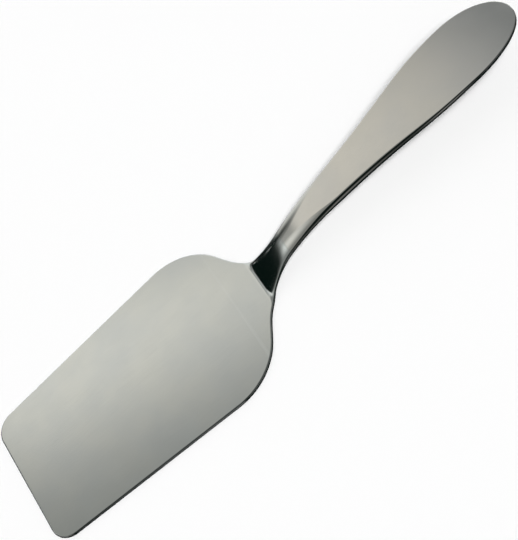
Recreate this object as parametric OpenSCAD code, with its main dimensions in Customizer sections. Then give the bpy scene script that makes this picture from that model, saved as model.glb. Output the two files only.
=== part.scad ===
// Serving spatula with a flat blade, a cranked neck and a hollow handle.
// The blade lies on the floor plane, its front edge points along -X and the handle rises along +X.
// Every surface is drawn from one plan outline and one side profile, both worked out below.

/* [Overall] */
// Length from the front edge of the blade to the end of the handle, seen from above
overall_len = 255; // [245:1:275]

/* [Blade] */
// Width at the front edge, where the two side lines would meet it
blade_tip_w = 64.5; // [56:0.5:72]
// Width where the shoulders begin
blade_heel_w = 75.5; // [72:0.5:82]
// Distance from the front edge to the start of the shoulders
blade_side_len = 85.7; // [80:0.1:89]
// Thickness of the blade
blade_t = 1.5; // [1.2:0.05:2]
// Half the height of the flat left between the roundings of the blade's edge
edge_flat = 0.15; // [0.05:0.05:0.3]
// Radius of the two front corners, seen from above
corner_r = 8.5; // [4:0.5:14]
// Radius of the outer curve of each shoulder
shoulder_r = 26; // [20:0.5:27]
// Angle to the long axis of the slope that joins the two curves of a shoulder
shoulder_angle = 61.6; // [52:0.2:64]
// Radius of the inner curve that leads from that slope to the crease
neck_fillet_r = 30; // [20:0.5:34]

/* [Neck] */
// Width of the neck where it is narrowest
neck_w = 12.2; // [9:0.2:14]
// Radius of the tight curve of the outline at each end of the crease
nip_r = 5.2; // [2:0.1:10]
// Angle to the long axis at which the tight curve starts
nip_start_angle = 37; // [32:0.5:44]
// Angle to the long axis at which the tight curve ends
nip_end_angle = 23.3; // [16:0.1:28]
// Radius of the long curve of the neck's sides
neck_side_r = 31.2; // [22:0.2:40]
// Thickness of the neck where the handle begins
neck_t = 3.1; // [2.6:0.1:4]
// Distance from the crease to the narrowest place of the neck
neck_len = 17.2; // [15:0.2:21]
// Radius of the crease, at the middle of the thickness
crease_r = 5.6; // [4:0.1:9]
// Angle by which the crease turns the neck up
crease_angle = 29.7; // [26:0.2:36]
// Level distance covered by the straight ramp behind the crease
ramp_run = 0.5; // [0.4:0.1:5]
// Radius of the curve that turns the ramp back towards level
sweep_r = 112; // [60:1:120]
// Distance behind the crease over which the flat section grows into an oval
oval_rise_len = 8.4; // [5:0.2:12]
// Length of the neck that keeps the oval section
oval_run_len = 8; // [2:0.5:14]
// Length over which the oval opens out into the flat handle
oval_fade_len = 30; // [15:1:45]

/* [Handle] */
// Greatest width of the handle
handle_w = 30; // [24:0.2:34]
// Distance from the widest place to the end
handle_end_len = 25.8; // [20:0.1:36]
// Angle to the long axis at which the handle's sides leave the neck
flank_angle = 2.7; // [0:0.1:4]
// Slope of the handle where the neck's curve runs out into it
handle_slope = 9.2; // [8:0.2:14]
// Angle by which the very end of the handle points down
end_dip = 8.1; // [0:0.1:12]
// Length from the neck over which the handle keeps its full height
even_len = 26; // [0:0.1:40]
// Height of the rim at the end of the handle, through both shells
handle_end_t = 1.4; // [1.3:0.1:2.4]
// Fullness of the rounded end, where 2 is an ellipse
end_fullness = 2.05; // [2:0.01:2.6]
// Sheet thickness of the two handle shells
shell_t = 0.5; // [0.4:0.05:0.55]

/* [Joints] */
// Half the width of the ground weld lines
weld_half_w = 0.3; // [0.2:0.05:0.35]
// Depth of the weld lines below the surface
weld_depth = 0.25; // [0.15:0.05:0.3]
// Clearance of the spigot and the cement inside the shells
fit_clear = 0.05; // [0.03:0.01:0.1]
// Length of the spigot that centres the shells on the neck
spigot_len = 8; // [5:0.5:12]
// Length of the tang behind the spigot
tang_len = 38; // [24:1:50]
// Width of the tang
tang_w = 6; // [4:0.5:7]
// Thickness of the tang
tang_t = 1; // [0.8:0.1:1.2]
// Rounding of the tang's edges
tang_edge_r = 0.3; // [0.1:0.05:0.4]
// Length of cement beyond the end of the tang
cement_over = 6; // [3:0.5:12]

/* [Hidden] */

// Reach of the rounding across the oval neck, as a share of half the width there
oval_share = 0.9;
// Reach of the flank's two control points, as shares of the flank's length
flank_start_share = 0.7;
flank_end_share = 0.336;
// How late the handle's arch bends, where 1 bends evenly
arch_power = 3.6;
// Where the rounded end stops short of its pole, which leaves a short flat
end_stop_angle = 87;
// Overrun of the cut for the tang at the open end of the cement
pocket_over = 1;
// Least rounding inside a shell, where the wall takes up the outer rounding
least_corner_r = 0.1;

// Steps along each stretch of the outline and round an edge
corner_steps = 10;
shoulder_steps = 16;
slope_steps = 3;
fillet_steps = 12;
nip_steps = 6;
side_steps = 14;
flank_steps = 26;
end_steps = 16;
edge_steps = 5;
tang_steps = 8;
spigot_steps = 6;

steel = [0.74, 0.74, 0.72];
weld_steel = [0.55, 0.55, 0.54];
cement = [0.62, 0.58, 0.5];

// Plan outline of the blade, right half, from the front edge to the handle
side_angle = atan((blade_heel_w - blade_tip_w) / 2 / blade_side_len);
corner_y = blade_tip_w / 2 + corner_r * tan(side_angle) - corner_r / cos(side_angle);
shoulder_x = blade_side_len + shoulder_r * sin(side_angle);
shoulder_y = blade_heel_w / 2 - shoulder_r * cos(side_angle);
slope_x = shoulder_x + shoulder_r * sin(shoulder_angle);
slope_y = shoulder_y + shoulder_r * cos(shoulder_angle);

// The three curves that lead into the neck, as centres measured from its narrowest place
function inward(a) = [sin(a), cos(a)];
side_centre = [0, neck_w / 2 + neck_side_r];
nip_centre = side_centre - (neck_side_r - nip_r) * inward(nip_end_angle);
fillet_centre = nip_centre + (neck_fillet_r - nip_r) * inward(nip_start_angle);
fillet_start = fillet_centre - neck_fillet_r * inward(shoulder_angle);
slope_drop = slope_y - fillet_start[1];
narrow_x = slope_x + slope_drop / tan(shoulder_angle) - fillet_start[0];
crease_x = narrow_x - neck_len;
joint_x = narrow_x + neck_side_r * sin(flank_angle);
joint_y = neck_w / 2 + neck_side_r * (1 - cos(flank_angle));

// Points of a curve between two angles to the long axis, without the last one
function curve(centre, r, start, end, steps) = [for (i = [0:steps - 1])
    [narrow_x, 0] + centre - r * inward(start + (end - start) * i / steps)];

blade_path = concat(
    [for (i = [0:corner_steps]) let (a = 180 - (90 - side_angle) * i / corner_steps)
        [corner_r + corner_r * cos(a), corner_y + corner_r * sin(a)]],
    [for (i = [0:shoulder_steps]) let (a = side_angle - (side_angle + shoulder_angle) * i / shoulder_steps)
        [shoulder_x - shoulder_r * sin(a), shoulder_y + shoulder_r * cos(a)]],
    [for (i = [1:slope_steps - 1]) let (drop = slope_drop * i / slope_steps)
        [slope_x + drop / tan(shoulder_angle), slope_y - drop]],
    curve(fillet_centre, neck_fillet_r, shoulder_angle, nip_start_angle, fillet_steps),
    curve(nip_centre, nip_r, nip_start_angle, nip_end_angle, nip_steps),
    curve(side_centre, neck_side_r, nip_end_angle, -flank_angle, side_steps),
    [[joint_x - weld_half_w, joint_y - weld_half_w * tan(flank_angle)], [joint_x, joint_y]]
);

// Plan outline of the handle, right half, from the neck to the rounded end
flank_x = joint_x + weld_half_w;
flank_y = joint_y + weld_half_w * tan(flank_angle);
widest_x = overall_len - handle_end_len;
flank_len = widest_x - flank_x;
end_power = 2 / end_fullness;

function bezier(a, b, c, d, t) =
    a * pow(1 - t, 3) + 3 * b * t * pow(1 - t, 2) + 3 * c * t * t * (1 - t) + d * pow(t, 3);

handle_path = concat(
    [[joint_x, joint_y]],
    [for (i = [0:flank_steps]) bezier(
        [flank_x, flank_y],
        [flank_x + flank_len * flank_start_share, flank_y + flank_len * flank_start_share * tan(flank_angle)],
        [widest_x - flank_len * flank_end_share, handle_w / 2],
        [widest_x, handle_w / 2],
        i / flank_steps)],
    [for (i = [1:end_steps]) let (a = end_stop_angle * i / end_steps)
        [widest_x + handle_end_len * pow(sin(a) / sin(end_stop_angle), end_power),
            handle_w / 2 * pow(cos(a), end_power)]]
);

// Side profile at the middle of the thickness: flat, crease, ramp, sweep, then a long flat arch
ramp_start_x = crease_x + crease_r * sin(crease_angle);
sweep_start_x = ramp_start_x + ramp_run;
arch_start_x = sweep_start_x + sweep_r * (sin(crease_angle) - sin(handle_slope));
arch_len = overall_len - arch_start_x;
arch_drop = tan(handle_slope) + tan(end_dip);
ramp_start_z = crease_r * (1 - cos(crease_angle));
sweep_start_z = ramp_start_z + ramp_run * tan(crease_angle);
arch_start_z = sweep_start_z + sweep_r * (cos(handle_slope) - cos(crease_angle));

function slope_at(x) =
    x <= crease_x ? 0 :
    x <= ramp_start_x ? asin((x - crease_x) / crease_r) :
    x <= sweep_start_x ? crease_angle :
    x <= arch_start_x ? asin(sin(crease_angle) - (x - sweep_start_x) / sweep_r) :
    atan(tan(handle_slope) - arch_drop * pow((x - arch_start_x) / arch_len, arch_power));

function rise_at(x) =
    x <= crease_x ? 0 :
    x <= ramp_start_x ? crease_r * (1 - cos(slope_at(x))) :
    x <= sweep_start_x ? ramp_start_z + (x - ramp_start_x) * tan(crease_angle) :
    x <= arch_start_x ? sweep_start_z + sweep_r * (cos(slope_at(x)) - cos(crease_angle)) :
    let (t = (x - arch_start_x) / arch_len, sag = arch_drop * pow(t, arch_power + 1) / (arch_power + 1))
        arch_start_z + arch_len * (tan(handle_slope) * t - sag);

// Thickness along the length
function ease(t) = let (u = max(0, min(1, t))) u * u * (3 - 2 * u);
function neck_share(x) = ease((x - crease_x) / (joint_x - crease_x));
taper_x = joint_x + even_len;
function half_thickness(x) = x <= joint_x
    ? (blade_t + (neck_t - blade_t) * neck_share(x)) / 2
    : (neck_t + (handle_end_t - neck_t) * ease((x - taper_x) / (overall_len - taper_x))) / 2;

// Rounding of the edges: its height, and its reach over the face, which makes the neck an oval
oval_start_x = crease_x + oval_rise_len;
oval_end_x = oval_start_x + oval_run_len;
function round_height(x) = half_thickness(x) - edge_flat - (weld_half_w - edge_flat) * neck_share(x);
function oval_at(x) = ease((x - crease_x) / oval_rise_len) * (1 - ease((x - oval_end_x) / oval_fade_len));
function round_reach(p) = let (r = round_height(p[0])) r + (oval_share * p[1] - r) * oval_at(p[0]);

// A point given by its place in the plan and its height above the middle of the thickness
function place(p, n) = let (a = slope_at(p[0]))
    [p[0] - n * sin(a) - overall_len / 2, p[1], blade_t / 2 + rise_at(p[0]) + n * cos(a)];

// Outward directions along an outline, long enough to keep the inset of each stretch even
function side_of(a, b) = let (d = (b - a) / norm(b - a)) [-d[1], d[0]];
function outward(path, before, after) = [for (k = [0:len(path) - 1]) let (
    na = k == 0 ? before : side_of(path[k - 1], path[k]),
    nb = k == len(path) - 1 ? after : side_of(path[k], path[k + 1]))
    (na + nb) / (1 + na * nb)];

joint_out = [-sin(flank_angle), cos(flank_angle)];
blade_out = outward(blade_path, [-1, 0], joint_out);
handle_out = outward(handle_path, joint_out, [1, 0]);
function across(p) = [p[0], -p[1]];

// One row of points from rim to rim over the upper face (s = 1) or the lower face (s = -1):
// round one edge, over the flat face, round the other edge
function row(p, out, half_t, reach, height, inset, s) = let (
    q = max(reach - inset, least_corner_r),
    r = max(height - inset, least_corner_r),
    rim = [for (c = [0:edge_steps]) let (a = 90 * c / edge_steps)
        [p - out * (inset + q * (1 - cos(a))), s * (half_t - inset - r * (1 - sin(a)))]])
    concat([for (e = rim) place(e[0], e[1])], [for (e = reversed(rim)) place(across(e[0]), e[1])]);

function row_at(p, out, inset, s) =
    row(p, out, half_thickness(p[0]), round_reach(p), round_height(p[0]), inset, s);

function reversed(v) = [for (i = [len(v) - 1:-1:0]) v[i]];
function ring(upper, lower) = concat(upper, reversed(lower));
function ring_at(p, out, inset) = ring(row_at(p, out, inset, 1), row_at(p, out, inset, -1));

// A whole section at any place along the handle, set in from the shells' outer faces
function inner_ring(x, inset) = ring_at([x, lookup(x, handle_path)], joint_out, inset);

function tang_row(x, s) = row([x, tang_w / 2], [0, 1], tang_t / 2, tang_edge_r, tang_edge_r, 0, s);
function tang_ring(x) = ring(tang_row(x, 1), tang_row(x, -1));

// Faces: strips between two lists of points, fans, and whole tubes of rings
row_n = 2 * edge_steps + 2;
ring_n = 2 * row_n;
function span(a, b) = [for (i = [a:a <= b ? 1 : -1:b]) i];
function strip(a, b) = [for (i = [0:len(a) - 2]) each [[a[i], b[i + 1], a[i + 1]], [a[i], b[i], b[i + 1]]]];
function fan(v) = [for (i = [1:len(v) - 2]) [v[0], v[i + 1], v[i]]];
function flip(faces) = [for (f = faces) reversed(f)];
function closed_ring(k, n) = concat(span(k * n, k * n + n - 1), [k * n]);
function tube(rings, n) = [for (k = [0:rings - 2]) each strip(closed_ring(k, n), closed_ring(k + 1, n))];
function flat(rings) = [for (r = rings) each r];

module tube_solid(rings) {
    n = len(rings[0]);
    last = (len(rings) - 1) * n;
    polyhedron(flat(rings), concat(
        tube(len(rings), n),
        flip(fan(span(0, n - 1))),
        fan(span(last, last + n - 1))
    ));
}

// The front edge, closed round its roundings from one side of the blade to the other
function front_cap() = let (e = edge_steps - 1) concat(
    strip(concat(span(e, 0), span(ring_n - 1, ring_n - 1 - e)),
        concat(span(row_n - 1 - e, row_n - 1), span(row_n, row_n + e))),
    flip(fan(span(e, row_n - 1 - e))),
    flip(fan(concat([ring_n - 1 - e], span(row_n + e, ring_n - 2 - e))))
);

// Inside the handle: the spigot that centres the shells, then the narrow tang
spigot_end_x = joint_x + spigot_len;
inner_inset = shell_t + fit_clear;
spigot_rings = [for (i = [0:spigot_steps]) inner_ring(joint_x + spigot_len * i / spigot_steps, inner_inset)];
tang_rings = [for (i = [0:tang_steps]) tang_ring(spigot_end_x + tang_len * i / tang_steps)];

module blade() {
    last = len(blade_path) - 1;
    rings = concat(
        [for (k = [0:last]) ring_at(blade_path[k], blade_out[k], k == last ? weld_depth : 0)],
        spigot_rings,
        tang_rings
    );
    end = (len(rings) - 1) * ring_n;
    color(steel) polyhedron(flat(rings), concat(
        tube(len(rings), ring_n),
        front_cap(),
        fan(span(end, end + ring_n - 1))
    ));
}

// One section of a shell, round its wall: groove for the weld, outer face, and back along the inner face
function shell_ring(k, s) = let (
    out = handle_out[k],
    groove = handle_path[k] - out * weld_depth,
    inside = handle_path[k] - out * shell_t)
    concat(
        [place(groove, 0)],
        row_at(handle_path[k], out, k == 0 ? weld_depth : 0, s),
        [place(across(groove), 0), place(across(inside), 0)],
        reversed(row_at(handle_path[k], out, shell_t, s)),
        [place(inside, 0)]
    );
shell_n = 2 * row_n + 4;
inner_0 = 2 * row_n + 2;

// The open front of a shell, which is flat and meets the neck
function shell_front() = concat(
    [[0, 1, shell_n - 1], [1, inner_0, shell_n - 1]],
    strip(span(row_n, 1), span(inner_0 + 1 - row_n, inner_0)),
    [[row_n, row_n + 1, row_n + 3], [row_n + 1, row_n + 2, row_n + 3]]
);

// The rounded end of a shell, from one side of its rim to the other
function shell_end(b) = let (e = edge_steps - 1) concat(
    strip(span(b + row_n - e, b + row_n + 3 + e),
        concat(span(b + 1 + e, b), span(b + shell_n - 1, b + inner_0 - e))),
    fan(span(b + 1 + e, b + row_n - e)),
    fan(span(b + row_n + 3 + e, b + inner_0 - e))
);

module handle_shell(s) {
    last = len(handle_path) - 1;
    rings = [for (k = [0:last]) shell_ring(k, s)];
    faces = concat(tube(last + 1, shell_n), shell_front(), shell_end(last * shell_n));
    polyhedron(flat(rings), s > 0 ? faces : flip(faces));
}

module handle_top_shell() {
    color(steel) handle_shell(1);
}

module handle_bottom_shell() {
    color(steel) handle_shell(-1);
}

// The weld in the groove between the two shells, ground flush, all round the handle
function seam_section(k, side) = let (p = handle_path[k], q = p - handle_out[k] * weld_depth) [
    place([p[0], side * p[1]], weld_half_w),
    place([q[0], side * q[1]], 0),
    place([p[0], side * p[1]], -weld_half_w)];

module seam_weld() {
    last = len(handle_path) - 1;
    color(weld_steel) tube_solid(concat(
        [for (k = [1:last]) seam_section(k, 1)],
        [for (k = [last:-1:1]) seam_section(k, -1)]
    ));
}

// The weld in the groove between the neck and the shells, ground flush, round the whole section
module neck_weld() {
    last = len(blade_path) - 1;
    rings = [
        ring_at(blade_path[last - 1], blade_out[last - 1], 0),
        ring_at(blade_path[last], blade_out[last], weld_depth),
        ring_at(handle_path[1], handle_out[1], 0)
    ];
    color(weld_steel) polyhedron(flat(rings), flip(concat(
        tube(3, ring_n),
        strip(closed_ring(2, ring_n), closed_ring(0, ring_n))
    )));
}

// The cement round the tang, from the spigot to a little beyond the tang's end
module tang_cement() {
    steps = 2 * tang_steps;
    length = tang_len + cement_over;
    color(cement) difference() {
        tube_solid([for (i = [0:steps]) inner_ring(spigot_end_x + length * i / steps, inner_inset)]);
        tube_solid(concat([tang_ring(spigot_end_x - pocket_over)], tang_rings));
    }
}

blade();
handle_top_shell();
handle_bottom_shell();
seam_weld();
neck_weld();
tang_cement();
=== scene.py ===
import math

import bmesh
import bpy
import numpy as np
from mathutils import Matrix, Vector


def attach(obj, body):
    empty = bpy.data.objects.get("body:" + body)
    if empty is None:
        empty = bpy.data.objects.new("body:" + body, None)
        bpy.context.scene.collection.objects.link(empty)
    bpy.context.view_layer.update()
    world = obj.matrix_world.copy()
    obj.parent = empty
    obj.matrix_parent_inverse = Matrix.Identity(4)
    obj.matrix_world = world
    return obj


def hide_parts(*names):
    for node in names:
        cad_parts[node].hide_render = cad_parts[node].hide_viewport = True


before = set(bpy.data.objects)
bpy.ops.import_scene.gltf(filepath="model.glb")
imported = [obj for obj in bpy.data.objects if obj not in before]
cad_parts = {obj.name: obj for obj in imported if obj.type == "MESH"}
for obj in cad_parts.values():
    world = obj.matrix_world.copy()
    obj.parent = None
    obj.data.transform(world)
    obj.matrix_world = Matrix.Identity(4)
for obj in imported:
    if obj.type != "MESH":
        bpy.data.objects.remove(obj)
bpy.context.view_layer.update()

# Sizes of the object, in metres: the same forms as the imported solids, drawn with finer steps
OVERALL_LEN = 0.255
BLADE_TIP_W = 0.0645
BLADE_HEEL_W = 0.0755
BLADE_SIDE_LEN = 0.0857
BLADE_T = 0.0015
EDGE_FLAT = 0.00015
CORNER_R = 0.0085
SHOULDER_R = 0.026
SHOULDER_ANGLE = math.radians(61.6)
NECK_FILLET_R = 0.03
NECK_W = 0.0122
NECK_T = 0.0031
NIP_R = 0.0052
NIP_START_ANGLE = math.radians(37)
NIP_END_ANGLE = math.radians(23.3)
NECK_SIDE_R = 0.0312
NECK_LEN = 0.0172
CREASE_R = 0.0056
CREASE_ANGLE = math.radians(29.7)
RAMP_RUN = 0.0005
SWEEP_R = 0.112
OVAL_RISE_LEN = 0.0084
OVAL_RUN_LEN = 0.008
OVAL_FADE_LEN = 0.03
HANDLE_W = 0.03
HANDLE_END_LEN = 0.0258
FLANK_ANGLE = math.radians(2.7)
HANDLE_SLOPE = math.radians(9.2)
END_DIP = math.radians(8.1)
EVEN_LEN = 0.026
HANDLE_END_T = 0.0014
END_FULLNESS = 2.05
SHELL_T = 0.0005
WELD_HALF_W = 0.0003
WELD_DEPTH = 0.00025
FIT_CLEAR = 0.00005
SPIGOT_LEN = 0.008
TANG_LEN = 0.038
TANG_W = 0.006
TANG_T = 0.001
TANG_EDGE_R = 0.0003
LEAST_CORNER_R = 0.0001
OVAL_SHARE = 0.9
FLANK_START_SHARE = 0.7
FLANK_END_SHARE = 0.336
ARCH_POWER = 3.6
END_STOP_ANGLE = math.radians(87)

# Steps of the smooth meshes
CORNER_STEPS = 24
SIDE_STEPS = 24
SHOULDER_STEPS = 36
SLOPE_STEPS = 6
FILLET_STEPS = 28
NIP_STEPS = 14
NECK_SIDE_STEPS = 40
FLANK_STEPS = 84
END_STEPS = 44
SPIGOT_STEPS = 6
TANG_STEPS = 16
EDGE_STEPS = 14
# Edges bent by more than this stay sharp
SHARP_ANGLE = math.radians(25)


def arc(centre_x, centre_y, radius, start, stop, steps, first=0):
    """Points of an arc in plan, angles measured from +X, in metres."""
    turns = [start + (stop - start) * i / steps for i in range(first, steps + 1)]
    return [(centre_x + radius * math.cos(t), centre_y + radius * math.sin(t)) for t in turns]


def line(start, stop, steps):
    """Points between start and stop, both left out."""
    shares = [i / steps for i in range(1, steps)]
    return [(start[0] + (stop[0] - start[0]) * s, start[1] + (stop[1] - start[1]) * s) for s in shares]


QUARTER = math.pi / 2
side_angle = math.atan((BLADE_HEEL_W - BLADE_TIP_W) / 2 / BLADE_SIDE_LEN)
corner_y = BLADE_TIP_W / 2 + CORNER_R * math.tan(side_angle) - CORNER_R / math.cos(side_angle)
shoulder_x = BLADE_SIDE_LEN + SHOULDER_R * math.sin(side_angle)
shoulder_y = BLADE_HEEL_W / 2 - SHOULDER_R * math.cos(side_angle)
slope_x = shoulder_x + SHOULDER_R * math.sin(SHOULDER_ANGLE)
slope_y = shoulder_y + SHOULDER_R * math.cos(SHOULDER_ANGLE)


def inward(a):
    """Direction in plan at an angle from +Y towards +X."""
    return np.array([math.sin(a), math.cos(a)])


# The three curves that lead into the neck, as centres measured from its narrowest place
side_centre = np.array([0, NECK_W / 2 + NECK_SIDE_R])
nip_centre = side_centre - (NECK_SIDE_R - NIP_R) * inward(NIP_END_ANGLE)
fillet_centre = nip_centre + (NECK_FILLET_R - NIP_R) * inward(NIP_START_ANGLE)
fillet_start = fillet_centre - NECK_FILLET_R * inward(SHOULDER_ANGLE)
narrow_x = slope_x + (slope_y - fillet_start[1]) / math.tan(SHOULDER_ANGLE) - fillet_start[0]
crease_x = narrow_x - NECK_LEN
joint_x = narrow_x + NECK_SIDE_R * math.sin(FLANK_ANGLE)
joint_y = NECK_W / 2 + NECK_SIDE_R * (1 - math.cos(FLANK_ANGLE))
flank_x = joint_x + WELD_HALF_W
flank_y = joint_y + WELD_HALF_W * math.tan(FLANK_ANGLE)
widest_x = OVERALL_LEN - HANDLE_END_LEN


def blade_outline():
    """Half the plan outline of the blade, from the front edge to the joint with the handle."""
    corner = arc(CORNER_R, corner_y, CORNER_R, math.pi, QUARTER + side_angle, CORNER_STEPS)
    shoulder = arc(shoulder_x, shoulder_y, SHOULDER_R,
                   QUARTER + side_angle, QUARTER - SHOULDER_ANGLE, SHOULDER_STEPS)
    bends = ((fillet_centre, NECK_FILLET_R, SHOULDER_ANGLE, NIP_START_ANGLE, FILLET_STEPS),
             (nip_centre, NIP_R, NIP_START_ANGLE, NIP_END_ANGLE, NIP_STEPS),
             (side_centre, NECK_SIDE_R, NIP_END_ANGLE, -FLANK_ANGLE, NECK_SIDE_STEPS))
    neck = [tuple(centre - r * inward(start + (end - start) * i / steps) + (narrow_x, 0))
            for centre, r, start, end, steps in bends for i in range(steps)]
    run = [(joint_x - WELD_HALF_W, joint_y - WELD_HALF_W * math.tan(FLANK_ANGLE)), (joint_x, joint_y)]
    return np.array(corner + line(corner[-1], shoulder[0], SIDE_STEPS) + shoulder
                    + line(shoulder[-1], neck[0], SLOPE_STEPS) + neck + run)


def handle_outline():
    """Half the plan outline of the handle, from the joint to the rounded end."""
    flank_len = widest_x - flank_x
    reach = flank_len * FLANK_START_SHARE
    ctrl = np.array([(flank_x, flank_y), (flank_x + reach, flank_y + reach * math.tan(FLANK_ANGLE)),
                     (widest_x - flank_len * FLANK_END_SHARE, HANDLE_W / 2), (widest_x, HANDLE_W / 2)])
    t = np.linspace(0, 1, FLANK_STEPS + 1)[:, None]
    flank = (ctrl[0] * (1 - t) ** 3 + 3 * ctrl[1] * t * (1 - t) ** 2
             + 3 * ctrl[2] * t * t * (1 - t) + ctrl[3] * t ** 3)
    a = np.linspace(0, END_STOP_ANGLE, END_STEPS + 1)[1:]
    power = 2 / END_FULLNESS
    end = np.stack([widest_x + HANDLE_END_LEN * (np.sin(a) / math.sin(END_STOP_ANGLE)) ** power,
                    HANDLE_W / 2 * np.cos(a) ** power], 1)
    return np.concatenate([[(joint_x, joint_y)], flank, end])


ramp_start_x = crease_x + CREASE_R * math.sin(CREASE_ANGLE)
sweep_start_x = ramp_start_x + RAMP_RUN
arch_start_x = sweep_start_x + SWEEP_R * (math.sin(CREASE_ANGLE) - math.sin(HANDLE_SLOPE))
arch_len = OVERALL_LEN - arch_start_x
arch_drop = math.tan(HANDLE_SLOPE) + math.tan(END_DIP)
ramp_start_z = CREASE_R * (1 - math.cos(CREASE_ANGLE))
sweep_start_z = ramp_start_z + RAMP_RUN * math.tan(CREASE_ANGLE)
arch_start_z = sweep_start_z + SWEEP_R * (math.cos(HANDLE_SLOPE) - math.cos(CREASE_ANGLE))


def arch_share(x):
    """How far x is along the handle's arch, from 0 to 1."""
    return np.clip((x - arch_start_x) / arch_len, 0, 1)


def slope_at(x):
    """Slope of the side profile: flat, crease, ramp, sweep, then a long flat arch."""
    crease = np.arcsin(np.clip((x - crease_x) / CREASE_R, 0, 1))
    sweep = np.arcsin(np.clip(math.sin(CREASE_ANGLE) - (x - sweep_start_x) / SWEEP_R, -1, 1))
    arch = np.arctan(math.tan(HANDLE_SLOPE) - arch_drop * arch_share(x) ** ARCH_POWER)
    return np.select([x <= crease_x, x <= ramp_start_x, x <= sweep_start_x, x <= arch_start_x],
                     [0 * x, crease, 0 * x + CREASE_ANGLE, sweep], arch)


def rise_at(x):
    """Height of the middle of the thickness above its height in the flat blade."""
    a = slope_at(x)
    t = arch_share(x)
    fall = arch_drop * t ** (ARCH_POWER + 1) / (ARCH_POWER + 1)
    return np.select(
        [x <= crease_x, x <= ramp_start_x, x <= sweep_start_x, x <= arch_start_x],
        [0 * x, CREASE_R * (1 - np.cos(a)), ramp_start_z + (x - ramp_start_x) * math.tan(CREASE_ANGLE),
         sweep_start_z + SWEEP_R * (np.cos(a) - math.cos(CREASE_ANGLE))],
        arch_start_z + arch_len * (math.tan(HANDLE_SLOPE) * t - fall))


def ease(t):
    """Smooth change from 0 to 1 while t goes from 0 to 1."""
    u = np.clip(t, 0, 1)
    return u * u * (3 - 2 * u)


def neck_share(x):
    """How far the sheet has changed into the neck, from 0 to 1."""
    return ease((x - crease_x) / (joint_x - crease_x))


taper_x = joint_x + EVEN_LEN
oval_start_x = crease_x + OVAL_RISE_LEN
oval_end_x = oval_start_x + OVAL_RUN_LEN


def half_thickness(x):
    """Half the thickness of the blade, the neck and the handle."""
    neck = BLADE_T + (NECK_T - BLADE_T) * neck_share(x)
    handle = NECK_T + (HANDLE_END_T - NECK_T) * ease((x - taper_x) / (OVERALL_LEN - taper_x))
    return np.where(x <= joint_x, neck, handle) / 2


def round_height(x):
    """Height of the rounding of an edge, above the flat band left on the rim."""
    return half_thickness(x) - EDGE_FLAT - (WELD_HALF_W - EDGE_FLAT) * neck_share(x)


def round_reach(x, y):
    """Reach of the rounding over the face, which makes the neck an oval."""
    oval = ease((x - crease_x) / OVAL_RISE_LEN) * (1 - ease((x - oval_end_x) / OVAL_FADE_LEN))
    height = round_height(x)
    return height + (OVAL_SHARE * y - height) * oval


def place(points):
    """Turns (plan x, plan y, height above the middle of the thickness) into places in the frame."""
    x, y, n = points[..., 0], points[..., 1], points[..., 2]
    a = slope_at(x)
    return np.stack([x - n * np.sin(a) - OVERALL_LEN / 2, y, BLADE_T / 2 + rise_at(x) + n * np.cos(a)], -1)


def outward(path, before, after):
    """Outward directions along an outline, long enough to keep the inset of each stretch even."""
    d = np.diff(path, axis=0)
    d /= np.linalg.norm(d, axis=1)[:, None]
    sides = np.concatenate([[before], np.stack([-d[:, 1], d[:, 0]], 1), [after]])
    na, nb = sides[:-1], sides[1:]
    return (na + nb) / (1 + (na * nb).sum(1))[:, None]


def row(p, out, half_t, reach, height, inset, side):
    """Points from rim to rim over the upper face (side 1) or the lower face (side -1)."""
    q = max(reach - inset, LEAST_CORNER_R)
    r = max(height - inset, LEAST_CORNER_R)
    a = np.linspace(0, QUARTER, EDGE_STEPS + 1)
    plan = p - out * (inset + q * (1 - np.cos(a)))[:, None]
    rim = np.column_stack([plan, side * (half_t - inset - r * (1 - np.sin(a)))])
    return np.concatenate([rim, rim[::-1] * (1, -1, 1)])


def row_at(p, out, inset, side):
    """A row with the part's own thickness and rounding at p."""
    half_t = float(half_thickness(p[0]))
    return row(p, out, half_t, float(round_reach(p[0], p[1])), float(round_height(p[0])), inset, side)


def ring_at(p, out, inset):
    """A whole section at p, its upper row and then its lower row back."""
    return np.concatenate([row_at(p, out, inset, 1), row_at(p, out, inset, -1)[::-1]])


def inner_ring(x, inset):
    """A whole section of the spigot, which follows the handle's inside."""
    return ring_at(np.array([x, np.interp(x, handle_path[:, 0], handle_path[:, 1])]), joint_out, inset)


def tang_ring(x):
    """A whole section of the tang, square to the length."""
    p, out = np.array([x, TANG_W / 2]), np.array([0, 1])
    rows = [row(p, out, TANG_T / 2, TANG_EDGE_R, TANG_EDGE_R, 0, side) for side in (1, -1)]
    return np.concatenate([rows[0], rows[1][::-1]])


joint_out = np.array([-math.sin(FLANK_ANGLE), math.cos(FLANK_ANGLE)])
blade_path = blade_outline()
blade_out = outward(blade_path, (-1, 0), joint_out)
handle_path = handle_outline()
handle_out = outward(handle_path, joint_out, (1, 0))
ROW_N = 2 * EDGE_STEPS + 2
RING_N = 2 * ROW_N


def span(a, b):
    """Whole numbers from a to b, both included, up or down."""
    return list(range(a, b + 1)) if a <= b else list(range(a, b - 1, -1))


def strip(a, b):
    """Four-sided faces between two rows of points."""
    return [(a[i], a[i + 1], b[i + 1], b[i]) for i in range(len(a) - 1)]


def tube(first, last, n):
    """Side faces between whole rings of n points."""
    rings = [span(k * n, k * n + n - 1) + [k * n] for k in range(first, last + 1)]
    return [f for a, b in zip(rings, rings[1:]) for f in strip(a, b)]


def flip(faces):
    """The same faces, turned to the other side."""
    return [tuple(reversed(f)) for f in faces]


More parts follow.
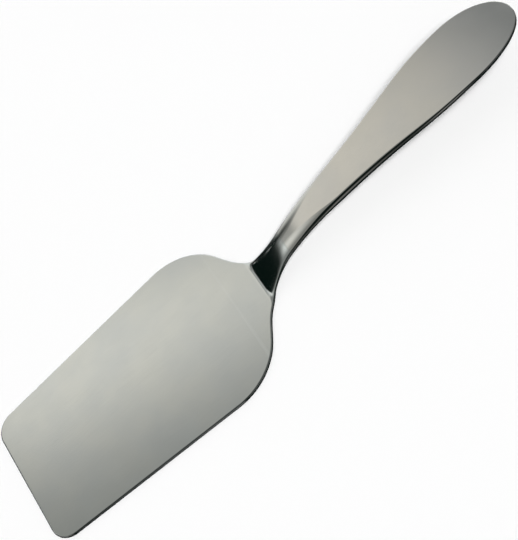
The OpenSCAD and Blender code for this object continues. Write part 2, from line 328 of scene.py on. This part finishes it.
def make_piece(name, points, faces, material, *nodes):
    """A smooth mesh in the frame. Large faces rule the shading of their corners, so that flats stay flat."""
    mesh = bpy.data.meshes.new(name)
    mesh.from_pydata(points.tolist(), [], faces)
    mesh.validate()
    shape = bmesh.new()
    shape.from_mesh(mesh)
    sharp = [e for e in shape.edges if len(e.link_faces) == 2 and e.calc_face_angle() > SHARP_ANGLE]
    bmesh.ops.split_edges(shape, edges=sharp)
    shape.to_mesh(mesh)
    shape.free()
    normals = np.zeros((len(mesh.vertices), 3))
    for face in mesh.polygons:
        for v in face.vertices:
            normals[v] += np.array(face.normal) * face.area
    normals /= np.linalg.norm(normals, axis=1)[:, None]
    mesh.shade_smooth()
    mesh.normals_split_custom_set_from_vertices(normals.tolist())
    mesh.materials.append(material)
    piece = bpy.data.objects.new(name, mesh)
    bpy.context.scene.collection.objects.link(piece)
    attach(piece, "root")
    for node in nodes:
        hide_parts(node)
    return piece


def blade_piece(material):
    """The blade, its neck, and the spigot and tang inside the handle, as one pressing."""
    last = len(blade_path) - 1
    rings = [ring_at(blade_path[k], blade_out[k], WELD_DEPTH if k == last else 0) for k in range(last + 1)]
    spigot_end = joint_x + SPIGOT_LEN
    rings += [inner_ring(x, SHELL_T + FIT_CLEAR) for x in np.linspace(joint_x, spigot_end, SPIGOT_STEPS + 1)]
    rings += [tang_ring(x) for x in np.linspace(spigot_end, spigot_end + TANG_LEN, TANG_STEPS + 1)]
    end = (len(rings) - 1) * RING_N
    e = EDGE_STEPS - 1
    faces = tube(0, len(rings) - 1, RING_N)
    faces += strip(span(e, 0) + span(RING_N - 1, RING_N - 1 - e), span(ROW_N - 1 - e, ROW_N + e))
    faces += [tuple(span(ROW_N - 1 - e, e)), tuple([RING_N - 1 - e] + span(RING_N - 2 - e, ROW_N + e))]
    faces += [tuple(span(end, end + RING_N - 1))]
    return make_piece("blade_pressing", place(np.concatenate(rings)), flip(faces), material, "blade")


def shell_piece(name, side, material, node):
    """One half of the hollow handle: weld groove, outer face, rim and inner face."""
    rings = []
    for p, out in zip(handle_path, handle_out):
        groove, inside = np.append(p - out * WELD_DEPTH, 0), np.append(p - out * SHELL_T, 0)
        outer = row_at(p, out, 0 if rings else WELD_DEPTH, side)
        inner = row_at(p, out, SHELL_T, side)[::-1]
        far = [groove * (1, -1, 1), inside * (1, -1, 1)]
        rings.append(np.concatenate([[groove], outer, far, inner, [inside]]))
    n = 2 * ROW_N + 4
    e = EDGE_STEPS - 1
    inner_0 = n - 2
    b = (len(rings) - 1) * n
    faces = tube(0, len(rings) - 1, n)
    faces += [(0, 1, n - 1), (1, inner_0, n - 1)]
    faces += strip(span(ROW_N, 1), span(inner_0 + 1 - ROW_N, inner_0))
    faces += [(ROW_N, ROW_N + 1, ROW_N + 3), (ROW_N + 1, ROW_N + 2, ROW_N + 3)]
    near = span(b + 1 + e, b) + span(b + n - 1, b + inner_0 - e)
    faces += strip(span(b + ROW_N - e, b + ROW_N + 3 + e), near)
    faces += [tuple(span(b + ROW_N - e, b + 1 + e)), tuple(span(b + inner_0 - e, b + ROW_N + 3 + e))]
    points = place(np.concatenate(rings))
    return make_piece(name, points, flip(faces) if side > 0 else faces, material, node)


def seam_piece(material):
    """The weld between the two shells, ground flush, all round the handle."""
    section = ((0, WELD_HALF_W), (WELD_DEPTH, 0), (0, -WELD_HALF_W))
    half = np.array([[np.append(p - out * d, n) for d, n in section]
                     for p, out in zip(handle_path[1:], handle_out[1:])])
    rings = np.concatenate([half, half[::-1] * (1, -1, 1)])
    n = len(section)
    last = n * (len(rings) - 1)
    faces = tube(0, len(rings) - 1, n) + [(2, 1, 0), (last, last + 1, last + 2)]
    return make_piece("rim_weld_line", place(rings.reshape(-1, 3)), flip(faces), material, "seam_weld")


def neck_weld_piece(material):
    """The weld between the neck and the shells, ground flush."""
    last = len(blade_path) - 1
    front = ring_at(blade_path[last - 1], blade_out[last - 1], 0)
    root = ring_at(blade_path[last], blade_out[last], WELD_DEPTH)
    back = ring_at(handle_path[1], handle_out[1], 0)
    rings = [front, root, back]
    points = place(np.concatenate(rings))
    faces = [tuple(v % (len(rings) * RING_N) for v in f) for f in tube(0, len(rings), RING_N)]
    return make_piece("neck_weld_line", points, faces, material, "neck_weld")


class Wiring:
    """Short calls for the nodes of one material or world."""

    def __init__(self, tree):
        self.nodes, self.links = tree.nodes, tree.links

    def node(self, kind, **values):
        """A new shader node."""
        made = self.nodes.new("ShaderNode" + kind)
        for key, value in values.items():
            setattr(made, key, value)
        return made

    def feed(self, socket, value):
        """Links a socket to another one, or sets its constant."""
        if isinstance(value, bpy.types.NodeSocket):
            self.links.new(value, socket)
        else:
            socket.default_value = value

    def math(self, operation, *values):
        """Outcome of one operation on numbers."""
        made = self.node("Math", operation=operation)
        for socket, value in zip(made.inputs, values):
            self.feed(socket, value)
        return made.outputs[0]

    def dot(self, vector, fixed):
        """Dot product of a vector with a fixed one."""
        made = self.node("VectorMath", operation="DOT_PRODUCT")
        self.feed(made.inputs[0], vector)
        self.feed(made.inputs[1], tuple(fixed))
        return made.outputs["Value"]

    def rise(self, value, middle, width):
        """Smooth change from 0 to 1 as value passes middle."""
        far = self.math("DIVIDE", self.math("SUBTRACT", middle, value), width)
        return self.math("DIVIDE", 1.0, self.math("ADD", 1.0, self.math("EXPONENT", far)))

    def ramp(self, value, low, high, bottom=0.0, top=1.0):
        """Smooth change from bottom to top while value goes from low to high."""
        made = self.node("MapRange", interpolation_type="SMOOTHSTEP")
        given = {"Value": value, "From Min": low, "From Max": high, "To Min": bottom, "To Max": top}
        for name, amount in given.items():
            self.feed(made.inputs[name], amount)
        return made.outputs[0]

    def scale(self, vector, factor):
        """A vector times a number."""
        made = self.node("VectorMath", operation="SCALE")
        self.feed(made.inputs[0], vector)
        self.feed(made.inputs["Scale"], factor)
        return made.outputs[0]

    def add(self, *vectors):
        """Sum of vectors."""
        total = vectors[0]
        for vector in vectors[1:]:
            made = self.node("VectorMath", operation="ADD")
            self.feed(made.inputs[0], total)
            self.feed(made.inputs[1], vector)
            total = made.outputs[0]
        return total

    def noise(self, place, scale, detail=2.0, turn=0.0):
        """Noise over the place, from 0 to 1, with a scale for each axis and a turn about Z."""
        laid = self.node("Mapping")
        self.feed(laid.inputs["Vector"], place)
        self.feed(laid.inputs["Rotation"], (0, 0, turn))
        self.feed(laid.inputs["Scale"], scale)
        made = self.node("TexNoise")
        self.feed(made.inputs["Vector"], laid.outputs[0])
        self.feed(made.inputs["Scale"], 1.0)
        self.feed(made.inputs["Detail"], detail)
        return made.outputs[0]

    def mix(self, share, first, second):
        """Colour from first to second as share goes from 0 to 1."""
        made = self.node("Mix", data_type="RGBA")
        for socket, value in zip((made.inputs[0], made.inputs[6], made.inputs[7]), (share, first, second)):
            self.feed(socket, value)
        return made.outputs[2]

    def bell(self, *scaled):
        """exp of minus the sum of squares."""
        total = 0.0
        for value in scaled:
            total = self.math("ADD", total, self.math("MULTIPLY", value, value))
        return self.math("EXPONENT", self.math("MULTIPLY", total, -1.0))

    def cap(self, way, centre, edge, softness):
        """1 in a round area of the sky about a centre and 0 outside. The edge is the cosine of its radius."""
        return self.rise(self.dot(way, towards(*centre)), edge, softness)

    def upright(self, way, azimuth, half):
        """Share of an upright strip of the sky about an azimuth, soft on both sides."""
        ahead = self.math("MULTIPLY", self.dot(way, towards(azimuth, 0)), half)
        aside = self.math("DIVIDE", self.dot(way, towards(azimuth + 90, 0)), ahead)
        return self.bell(self.math("MULTIPLY", aside, aside))

    def bump(self, height, strength, distance, under=None):
        """Normals bent by a height, on top of other bent normals if any are given."""
        made = self.node("Bump")
        self.feed(made.inputs["Height"], height)
        self.feed(made.inputs["Strength"], strength)
        self.feed(made.inputs["Distance"], distance)
        if under is not None:
            self.feed(made.inputs["Normal"], under)
        return made.outputs[0]


# Stretch of the handle over which its warm tint fades, along X
WARM_STEEL = (0.075, 0.12)
# Sizes of the marks on the steel and of the cement's grains, in steps of noise per metre
CLOUD_SCALE = 38
PATCH_SCALE = 120
WAVE_SCALE = 45
GRAIN_ALONG = 90
SCRATCH_ALONG = 55
SCRATCH_ACROSS = 2600
CEMENT_LUMPS = 700
CEMENT_SPECKS = 2500
# Levels of detail in the noise of each
CLOUD_DETAIL = 3
PATCH_DETAIL = 2
WAVE_DETAIL = 1
GRAIN_DETAIL = 3
SCRATCH_DETAIL = 1
LUMP_DETAIL = 4
SPECK_DETAIL = 2
# Noise, or for wear the sharpness of an edge, at which each begins to show and shows in full
CLOUD_RANGE = (0.3, 0.7)
PATCH_RANGE = (0.35, 0.65)
GRAIN_RANGE = (0.35, 0.65)
SCRATCH_RANGE = (0.7, 0.78)
WEAR_RANGE = (0.53, 0.62)
LUMP_RANGE = (0.3, 0.7)
SPECK_RANGE = (0.62, 0.7)
# Shades that the steel's colour is multiplied by
COOL_SHADE = (0.965, 0.975, 0.985)
WARM_SHADE = (1.03, 1.025, 1.005)
PLAIN_SHADE = (0.995, 0.975, 0.965)
# Colour of each mark and its share in the steel's colour
SCRATCH_COLOUR = (0.56, 0.56, 0.55, 1)
SCRATCH_TINT_SHARE = 0.1
WEAR_COLOUR = (0.8, 0.8, 0.79, 1)
WEAR_TINT_SHARE = 0.3
GRAIN_COLOUR = (0.5, 0.5, 0.49, 1)
GRAIN_TINT_SHARE = 0.05
# Roughness that each mark adds
GRAIN_ROUGHNESS = 0.03
PATCH_ROUGHNESS = 0.025
SCRATCH_ROUGHNESS = 0.05
WEAR_ROUGHNESS = 0.04
# Strength and height in metres of the steel's waves and marks, and the depth of a scratch in them
WAVE_BUMP = (0.06, 0.0002)
MARK_BUMP = (0.12, 0.00002)
SCRATCH_DEPTH_SHARE = 0.35
# Cement
CEMENT_DARK = (0.55, 0.5, 0.42, 1)
CEMENT_PALE = (0.68, 0.64, 0.56, 1)
CEMENT_SPECK = (0.33, 0.3, 0.26, 1)
CEMENT_ROUGHNESS = 0.75
LUMP_ROUGHNESS = 0.2
CEMENT_BUMP = (0.6, 0.0002)


def new_material(name):
    """A new material, with its wiring and its shader."""
    material = bpy.data.materials.new(name)
    material.use_nodes = True
    return material, Wiring(material.node_tree), material.node_tree.nodes["Principled BSDF"]


def steel(name, colour, roughness, grain_across, scratch_turn, warm_from=None):
    """Satin steel: fine lengthwise grain, faint scratches, clouded colour, slow waves and rubbed edges."""
    material, w, shader = new_material(name)
    place = w.node("TexCoord").outputs["Object"]
    clouds = w.ramp(w.noise(place, (CLOUD_SCALE,) * 3, CLOUD_DETAIL), *CLOUD_RANGE)
    patches = w.ramp(w.noise(place, (PATCH_SCALE,) * 3, PATCH_DETAIL), *PATCH_RANGE)
    grain = w.noise(place, (GRAIN_ALONG, grain_across, grain_across), GRAIN_DETAIL)
    scratch_scale = (SCRATCH_ALONG, SCRATCH_ACROSS, SCRATCH_ACROSS)
    scratches = w.ramp(w.noise(place, scratch_scale, SCRATCH_DETAIL, scratch_turn), *SCRATCH_RANGE)
    worn = w.ramp(w.node("NewGeometry").outputs["Pointiness"], *WEAR_RANGE)

    cool = [c * shade for c, shade in zip(colour, COOL_SHADE)]
    warm = [c * shade for c, shade in zip(colour, WARM_SHADE)]
    tint = w.mix(clouds, (*cool, 1), (*warm, 1))
    if warm_from:
        grey = sum(colour) / 3
        plain = [grey * shade for shade in PLAIN_SHADE]
        along = w.node("SeparateXYZ")
        w.feed(along.inputs[0], place)
        tint = w.mix(w.ramp(along.outputs["X"], *warm_from), tint, (*plain, 1))
    tint = w.mix(w.math("MULTIPLY", scratches, SCRATCH_TINT_SHARE), tint, SCRATCH_COLOUR)
    tint = w.mix(w.math("MULTIPLY", worn, WEAR_TINT_SHARE), tint, WEAR_COLOUR)
    lines = w.ramp(grain, *GRAIN_RANGE)
    tint = w.mix(w.math("MULTIPLY", lines, GRAIN_TINT_SHARE), tint, GRAIN_COLOUR)
    w.feed(shader.inputs["Base Color"], tint)

    rough = roughness
    for share, amount in ((grain, GRAIN_ROUGHNESS), (patches, PATCH_ROUGHNESS),
                          (scratches, SCRATCH_ROUGHNESS), (worn, WEAR_ROUGHNESS)):
        rough = w.math("ADD", rough, w.math("MULTIPLY", share, amount))
    w.feed(shader.inputs["Roughness"], rough)
    shader.inputs["Metallic"].default_value = 1.0

    waves = w.bump(w.noise(place, (WAVE_SCALE,) * 3, WAVE_DETAIL), *WAVE_BUMP)
    marks = w.math("SUBTRACT", grain, w.math("MULTIPLY", scratches, SCRATCH_DEPTH_SHARE))
    w.feed(shader.inputs["Normal"], w.bump(marks, *MARK_BUMP, waves))
    return material


def cement():
    """Pale grainy cement with darker specks."""
    material, w, shader = new_material("tang_cement")
    place = w.node("TexCoord").outputs["Object"]
    lumps = w.noise(place, (CEMENT_LUMPS,) * 3, LUMP_DETAIL)
    specks = w.ramp(w.noise(place, (CEMENT_SPECKS,) * 3, SPECK_DETAIL), *SPECK_RANGE)
    tint = w.mix(w.ramp(lumps, *LUMP_RANGE), CEMENT_DARK, CEMENT_PALE)
    w.feed(shader.inputs["Base Color"], w.mix(specks, tint, CEMENT_SPECK))
    rough = w.math("ADD", CEMENT_ROUGHNESS, w.math("MULTIPLY", lumps, LUMP_ROUGHNESS))
    w.feed(shader.inputs["Roughness"], rough)
    w.feed(shader.inputs["Normal"], w.bump(w.math("SUBTRACT", lumps, specks), *CEMENT_BUMP))
    return material


blade_steel = steel("blade_steel", colour=(0.695, 0.697, 0.68), roughness=0.085,
                    grain_across=3200, scratch_turn=0.35)
handle_steel = steel("handle_steel", colour=(0.668, 0.64, 0.605), roughness=0.085,
                     grain_across=2800, scratch_turn=-0.3, warm_from=WARM_STEEL)
weld_steel = steel("weld_steel", colour=(0.65, 0.64, 0.615), roughness=0.12,
                   grain_across=5200, scratch_turn=1.2)
pieces = [
    (blade_piece(blade_steel), "blade_steel"),
    (shell_piece("handle_upper_half", 1, handle_steel, "handle_top_shell"), "handle_steel"),
    (shell_piece("handle_lower_half", -1, handle_steel, "handle_bottom_shell"), "handle_steel"),
    (seam_piece(weld_steel), "weld_steel"),
    (neck_weld_piece(weld_steel), "weld_steel"),
]
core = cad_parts["tang_cement"]
core.data.materials.clear()
core.data.materials.append(cement())

# Camera, fitted to the object's outline at an elevation that was chosen beforehand
CAMERA_AZIMUTH = math.radians(10.912)
CAMERA_ELEVATION = math.radians(50)
CAMERA_ROLL = math.radians(-49.541)
CAMERA_TARGET = Vector((0.120893 - OVERALL_LEN / 2, 0.005758, 0))
CAMERA_DISTANCE = 0.849272
PIXELS_PER_METRE = 2656.1
IMAGE_HEIGHT = 540
SENSOR = 36.0
CLIP_START = 0.01


def make_camera():
    """The camera of the photo."""
    sa, ca = math.sin(CAMERA_AZIMUTH), math.cos(CAMERA_AZIMUTH)
    se, ce = math.sin(CAMERA_ELEVATION), math.cos(CAMERA_ELEVATION)
    back = Vector((sa * ce, -ca * ce, se))
    right = Vector((ca, sa, 0))
    up = back.cross(right)
    turned_right = right * math.cos(CAMERA_ROLL) + up * math.sin(CAMERA_ROLL)
    turned_up = up * math.cos(CAMERA_ROLL) - right * math.sin(CAMERA_ROLL)
    data = bpy.data.cameras.new("camera")
    data.sensor_width = SENSOR
    data.lens = PIXELS_PER_METRE * CAMERA_DISTANCE / IMAGE_HEIGHT * SENSOR
    data.clip_start = CLIP_START
    camera = bpy.data.objects.new("camera", data)
    turn = Matrix((turned_right, turned_up, back)).transposed()
    camera.matrix_world = Matrix.Translation(CAMERA_TARGET + back * CAMERA_DISTANCE) @ turn.to_4x4()
    bpy.context.scene.collection.objects.link(camera)
    bpy.context.scene.camera = camera


def towards(azimuth, elevation):
    """Direction at an azimuth from +Y towards +X and an elevation, both in degrees."""
    a, e = math.radians(azimuth), math.radians(elevation)
    return Vector((math.sin(a) * math.cos(e), math.cos(a) * math.cos(e), math.sin(e)))


FLOOR_DROP = 0.0002
FLOOR_HALF = 3.0
FLOOR_COLOUR = 0.98


def make_floor():
    """A plain white floor. The steel doesn't mirror it, because the photo's rims mirror something darker."""
    corners = [(x * FLOOR_HALF, y * FLOOR_HALF, -FLOOR_DROP) for x, y in ((-1, -1), (1, -1), (1, 1), (-1, 1))]
    mesh = bpy.data.meshes.new("floor")
    mesh.from_pydata(corners, [], [(0, 1, 2, 3)])
    floor = bpy.data.objects.new("floor", mesh)
    material, w, shader = new_material("floor")
    w.feed(shader.inputs["Base Color"], (FLOOR_COLOUR, FLOOR_COLOUR, FLOOR_COLOUR, 1))
    w.feed(shader.inputs["Roughness"], 1.0)
    w.feed(shader.inputs["Specular IOR Level"], 0)
    mesh.materials.append(material)
    floor.visible_glossy = False
    bpy.context.scene.collection.objects.link(floor)


# Light on the floor, as shares of plain white
SKY_SHARE = 0.22
KEY_SHARE = 0.768
# Colours of the studio that the steel mirrors: its soft areas, and what is left dark
STUDIO_TINT = (0.965, 1.005, 0.985)
DARK_TINT = (0.0035, 0.0085, 0.007)

# Areas of the studio. A way is an azimuth from +Y towards +X and an elevation, both in degrees. An edge
# is the cosine of the angle from the way at which an area ends, and how softly it ends. The band's top
# and bottom are sines of a height instead. The streak's spread is a pair of sines, the lobe's is a fall
# in cosine, and a half is the tangent of half a width.
RIGHT_WAY = (96.1, 22.8)
RIGHT_EDGE = (-0.459, 0.011)
UNDER_WAY = (0, -35)
OVERHEAD_EDGE = (math.cos(math.radians(122)), 0.015)
FAR_WAY = (-30, 20)
FAR_EDGE = (0.05, 0.03)
STREAK_AZIMUTH = -35
STREAK_ELEVATION = 16.3
STREAK_SPREAD = (0.11, 0.452)
TABLE_WAY = (2.7, -8.3)
TABLE_EDGE = (0.596, 0.01)
LOBE_WAY = (-51, 36.8)
LOBE_SPREAD = 0.0209
BAND_BOTTOM = (math.sin(math.radians(6)), 0.015)
BAND_TOP = (math.sin(math.radians(27)), 0.02)
BAND_GAP_AZIMUTH = 197
BAND_GAP_HALF = 0.42
BAND_GAP_EDGE = (0, 0.02)
BAND_FAR_WAY = (-10, 0)
BAND_FAR_EDGE = (0.33, 0.02)
NEAR_TABLE_WAY = (192.5, -14)
NEAR_TABLE_EDGE = (0.85, 0.012)
NEAR_TABLE_HALF = 0.145
GLINT_WAY = (-37, 12.3)
GLINT_EDGE = (math.cos(math.radians(0.6)), 0.00001)
# How bright each area is
BASE_LEVEL = 0.276
TABLE_LEVEL = 0.559
LOBE_LEVEL = 0.662
BAND_LEVEL = 0.33
NEAR_TABLE_LEVEL = 0.23
GLINT_LEVEL = 2.2


def make_world():
    """White to the camera, soft light to dull surfaces, and soft areas for the steel to mirror."""
    world = bpy.data.worlds.new("studio")
    bpy.context.scene.world = world
    world.use_nodes = True
    w = Wiring(world.node_tree)
    w.nodes.clear()
    way = w.node("TexCoord").outputs["Generated"]

    # Bright surroundings on the far side, which end to the left at a dark edge, and overhead
    edge = w.cap(way, RIGHT_WAY, *RIGHT_EDGE)
    overhead = w.cap(way, UNDER_WAY, *OVERHEAD_EDGE)
    far_side = w.cap(way, FAR_WAY, *FAR_EDGE)
    # A dark streak in them, and a bright table and a bright area beside the streak
    streak_across = towards(STREAK_AZIMUTH + 90, 0)
    streak_along = streak_across.cross(towards(STREAK_AZIMUTH, STREAK_ELEVATION))
    streak = w.bell(w.math("DIVIDE", w.dot(way, streak_across), STREAK_SPREAD[0]),
                    w.math("DIVIDE", w.dot(way, streak_along), STREAK_SPREAD[1]))
    table = w.math("MULTIPLY", w.cap(way, TABLE_WAY, *TABLE_EDGE), TABLE_LEVEL)
    beside = w.math("SUBTRACT", w.dot(way, towards(*LOBE_WAY)), 1.0)
    lobe = w.math("EXPONENT", w.math("DIVIDE", beside, LOBE_SPREAD))
    bright = w.math("ADD", BASE_LEVEL, w.math("ADD", table, w.math("MULTIPLY", lobe, LOBE_LEVEL)))
    for share in (edge, overhead, far_side, w.math("SUBTRACT", 1.0, streak)):
        bright = w.math("MULTIPLY", bright, share)
    # A band of light round the horizon for views from elsewhere, without the far side and with a gap
    # where the near rims would mirror it
    height = w.dot(way, (0, 0, 1))
    under_top = w.math("SUBTRACT", 1.0, w.rise(height, *BAND_TOP))
    band = w.math("MULTIPLY", w.rise(height, *BAND_BOTTOM), under_top)
    gap = w.math("MULTIPLY", w.upright(way, BAND_GAP_AZIMUTH, BAND_GAP_HALF),
                 w.cap(way, (BAND_GAP_AZIMUTH, 0), *BAND_GAP_EDGE))
    near_side = w.math("SUBTRACT", 1.0, w.cap(way, BAND_FAR_WAY, *BAND_FAR_EDGE))
    band = w.math("MULTIPLY", w.math("MULTIPLY", band, near_side), w.math("SUBTRACT", 1.0, gap))
    # A grey table on the camera's side, which the near rims mirror as a grey line
    near_table = w.math("MULTIPLY", w.cap(way, NEAR_TABLE_WAY, *NEAR_TABLE_EDGE),
                        w.upright(way, NEAR_TABLE_WAY[0], NEAR_TABLE_HALF))
    # A small lamp that glints on the neck
    glint = w.cap(way, GLINT_WAY, *GLINT_EDGE)
    grey = 0.0
    for part, level in ((band, BAND_LEVEL), (near_table, NEAR_TABLE_LEVEL), (glint, GLINT_LEVEL)):
        grey = w.math("ADD", grey, w.math("MULTIPLY", part, level))
    mirrored = w.add(w.scale(STUDIO_TINT, bright), w.scale((1, 1, 1), grey), DARK_TINT)

    light = w.node("LightPath")
    glossy = light.outputs["Is Glossy Ray"]
    seen = w.math("MULTIPLY", light.outputs["Is Camera Ray"], 1.0 - SKY_SHARE / FLOOR_COLOUR)
    lit = w.math("ADD", SKY_SHARE / FLOOR_COLOUR, seen)
    dull = w.math("MULTIPLY", w.math("SUBTRACT", 1.0, glossy), lit)
    background = w.node("Background")
    w.feed(background.inputs["Color"], w.add(w.scale(mirrored, glossy), w.scale((1, 1, 1), dull)))
    w.links.new(background.outputs[0], w.node("OutputWorld").inputs["Surface"])


# The near light, in metres and radians. Its centre and spread are measured on its own plane.
GLOW_WAY = (-15, 48)
GLOW_DISTANCE = 0.498
GLOW_HALF = 0.9
GLOW_CENTRE = (-0.1126, -0.0505)
GLOW_TURN = 0.455
GLOW_SPREAD = (0.3036, 0.0552)
GLOW_STRENGTH = 0.575
GLOW_TINT = (1.025, 1.0, 0.93, 1)
# Where the glow ends on the neck's side, and how softly, as shares of its spread
GLOW_END = (-0.18, 0.03)


def make_glow():
    """A near soft light that the blade and the handle mirror, with no edge of its own."""
    way = towards(*GLOW_WAY)
    across = Vector((math.cos(math.radians(GLOW_WAY[0])), -math.sin(math.radians(GLOW_WAY[0])), 0))
    up = across.cross(way)
    if up.z < 0:
        up = -up
    mesh = bpy.data.meshes.new("glow")
    mesh.from_pydata([(-GLOW_HALF, -GLOW_HALF, 0), (GLOW_HALF, -GLOW_HALF, 0), (GLOW_HALF, GLOW_HALF, 0),
                      (-GLOW_HALF, GLOW_HALF, 0)], [], [(0, 1, 2, 3)])
    glow = bpy.data.objects.new("glow", mesh)
    turn = Matrix((across, up, across.cross(up))).transposed()
    glow.matrix_world = Matrix.Translation(way * GLOW_DISTANCE) @ turn.to_4x4()
    material, w, _ = new_material("glow")
    w.nodes.clear()
    spot = w.node("Mapping", vector_type="TEXTURE")
    w.feed(spot.inputs["Vector"], w.node("TexCoord").outputs["Object"])
    spot.inputs["Location"].default_value = (*GLOW_CENTRE, 0)
    spot.inputs["Rotation"].default_value = (0, 0, GLOW_TURN)
    spot.inputs["Scale"].default_value = (*GLOW_SPREAD, 1)
    square = w.node("VectorMath", operation="DOT_PRODUCT")
    w.feed(square.inputs[0], spot.outputs[0])
    w.feed(square.inputs[1], spot.outputs[0])
    along = w.node("SeparateXYZ")
    w.feed(along.inputs[0], spot.outputs[0])
    fall = w.math("EXPONENT", w.math("MULTIPLY", square.outputs["Value"], -1.0))
    fall = w.math("MULTIPLY", fall, w.rise(along.outputs["X"], *GLOW_END))
    emission = w.node("Emission")
    emission.inputs["Color"].default_value = GLOW_TINT
    w.feed(emission.inputs["Strength"], w.math("MULTIPLY", fall, GLOW_STRENGTH))
    both = w.node("AddShader")
    w.links.new(emission.outputs[0], both.inputs[0])
    w.links.new(w.node("BsdfTransparent").outputs[0], both.inputs[1])
    w.links.new(both.outputs[0], w.node("OutputMaterial").inputs["Surface"])
    mesh.materials.append(material)
    for ray in ("camera", "diffuse", "shadow", "transmission"):
        setattr(glow, "visible_" + ray, False)
    bpy.context.scene.collection.objects.link(glow)


KEY_ANGLE = math.radians(10)


def make_key():
    """A soft lamp from the camera's side, which leaves most of the shadow behind the object."""
    data = bpy.data.lights.new("key", "SUN")
    data.angle = KEY_ANGLE
    data.energy = KEY_SHARE / FLOOR_COLOUR * math.pi / math.sin(CAMERA_ELEVATION)
    lamp = bpy.data.objects.new("key", data)
    back = -towards(-math.degrees(CAMERA_AZIMUTH), -math.degrees(CAMERA_ELEVATION))
    lamp.rotation_euler = back.to_track_quat("Z", "Y").to_euler()
    lamp.visible_glossy = False
    bpy.context.scene.collection.objects.link(lamp)


make_camera()
make_floor()
make_world()
make_glow()
make_key()

bpy.context.scene.view_settings.view_transform = "Standard"
